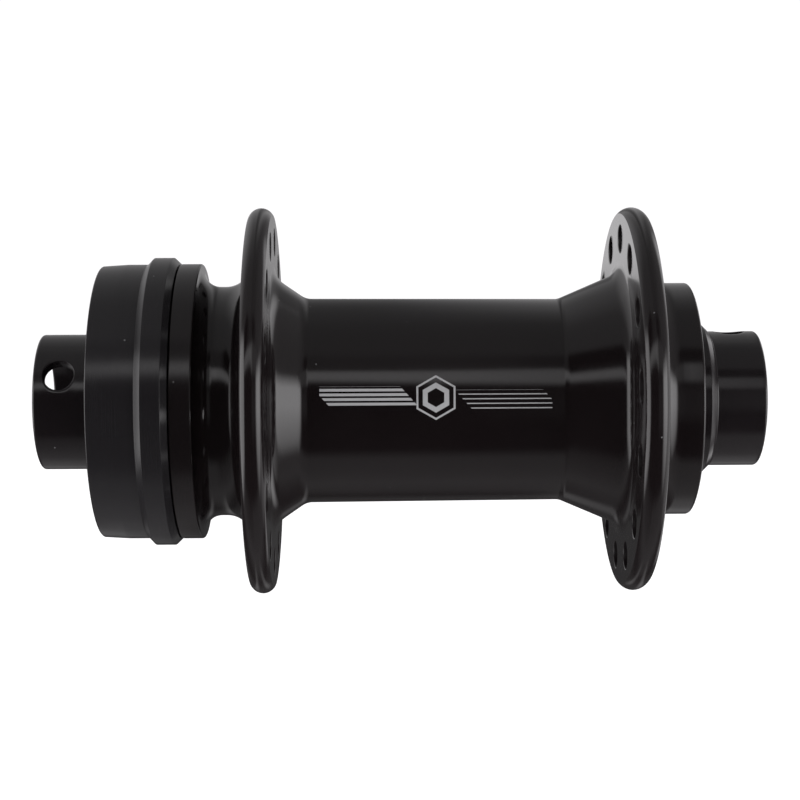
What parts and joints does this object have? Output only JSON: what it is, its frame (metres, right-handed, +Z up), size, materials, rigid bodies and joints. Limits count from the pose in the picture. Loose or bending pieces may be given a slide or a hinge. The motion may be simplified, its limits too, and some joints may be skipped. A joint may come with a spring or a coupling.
{
  "type": "bicycle front hub",
  "caption": "Black front wheel hub for a disc brake and a thru-axle: flanged shell turning on cartridge bearings, with pull-off end caps and a rotor-mount cover.",
  "frame": {"origin": "on the axle's centre line, midway between the two end faces", "axes": "+X along the axle from the brake side to the other side, +Z up, -Y towards the viewer"},
  "size_m": [0.1, 0.054, 0.054],
  "materials": {
    "shell_anodised": "gloss black anodised",
    "cap_anodised": "semi-gloss black anodised",
    "cover_anodised": "satin black anodised, turned",
    "axle_anodised": "satin black anodised",
    "bearing_steel": "ground and polished",
    "cage_steel": "pressed",
    "black_rubber": "matt",
    "seal_rubber": "matt"
  },
  "bodies": {
    "axle": {"axle_tube": "axle_anodised", "left_bearing_inner_race": "bearing_steel", "right_bearing_inner_race": "bearing_steel"},
    "shell": {"hub_shell": "shell_anodised", "left_bearing_outer_race": "bearing_steel", "right_bearing_outer_race": "bearing_steel", "left_bearing_seal_a": "seal_rubber", "left_bearing_seal_b": "seal_rubber", "right_bearing_seal_a": "seal_rubber", "right_bearing_seal_b": "seal_rubber", "left_dust_seal": "black_rubber", "right_dust_seal": "black_rubber"},
    "left_ball_set": {"left_bearing_cage": "cage_steel", "left_bearing_ball_01": "bearing_steel", "left_bearing_ball_02": "bearing_steel", "left_bearing_ball_03": "bearing_steel", "left_bearing_ball_04": "bearing_steel", "left_bearing_ball_05": "bearing_steel", "left_bearing_ball_06": "bearing_steel", "left_bearing_ball_07": "bearing_steel", "left_bearing_ball_08": "bearing_steel", "left_bearing_ball_09": "bearing_steel", "left_bearing_ball_10": "bearing_steel", "left_bearing_ball_11": "bearing_steel"},
    "right_ball_set": {"right_bearing_cage": "cage_steel", "right_bearing_ball_01": "bearing_steel", "right_bearing_ball_02": "bearing_steel", "right_bearing_ball_03": "bearing_steel", "right_bearing_ball_04": "bearing_steel", "right_bearing_ball_05": "bearing_steel", "right_bearing_ball_06": "bearing_steel", "right_bearing_ball_07": "bearing_steel", "right_bearing_ball_08": "bearing_steel", "right_bearing_ball_09": "bearing_steel", "right_bearing_ball_10": "bearing_steel", "right_bearing_ball_11": "bearing_steel"},
    "left_cap": {"left_end_cap": "cap_anodised", "left_cap_o_ring": "black_rubber"},
    "right_cap": {"right_end_cap": "cap_anodised", "right_cap_o_ring": "black_rubber"},
    "cover": {"rotor_mount_cover": "cover_anodised"}
  },
  "joints": [
    {"name": "shell_spin", "type": "hinge", "parent": "axle", "child": "shell", "pos_m": [0, 0, 0], "axis": [1, 0, 0], "continuous": true},
    {"name": "left_ball_set_spin", "type": "hinge", "parent": "axle", "child": "left_ball_set", "pos_m": [-0.0355, 0, 0], "axis": [1, 0, 0], "continuous": true},
    {"name": "right_ball_set_spin", "type": "hinge", "parent": "axle", "child": "right_ball_set", "pos_m": [0.0361, 0, 0], "axis": [1, 0, 0], "continuous": true},
    {"name": "left_cap_pull", "type": "slide", "parent": "axle", "child": "left_cap", "axis": [-1, 0, 0], "range_m": [0, 0.012]},
    {"name": "right_cap_pull", "type": "slide", "parent": "axle", "child": "right_cap", "axis": [1, 0, 0], "range_m": [0, 0.012]},
    {"name": "cover_pull", "type": "slide", "parent": "shell", "child": "cover", "axis": [-1, 0, 0], "range_m": [0, 0.03]}
  ],
  "couplings": [
    {"joint": "left_ball_set_spin", "follows": "shell_spin", "ratio": 0.57778},
    {"joint": "right_ball_set_spin", "follows": "shell_spin", "ratio": 0.57778}
  ]
}
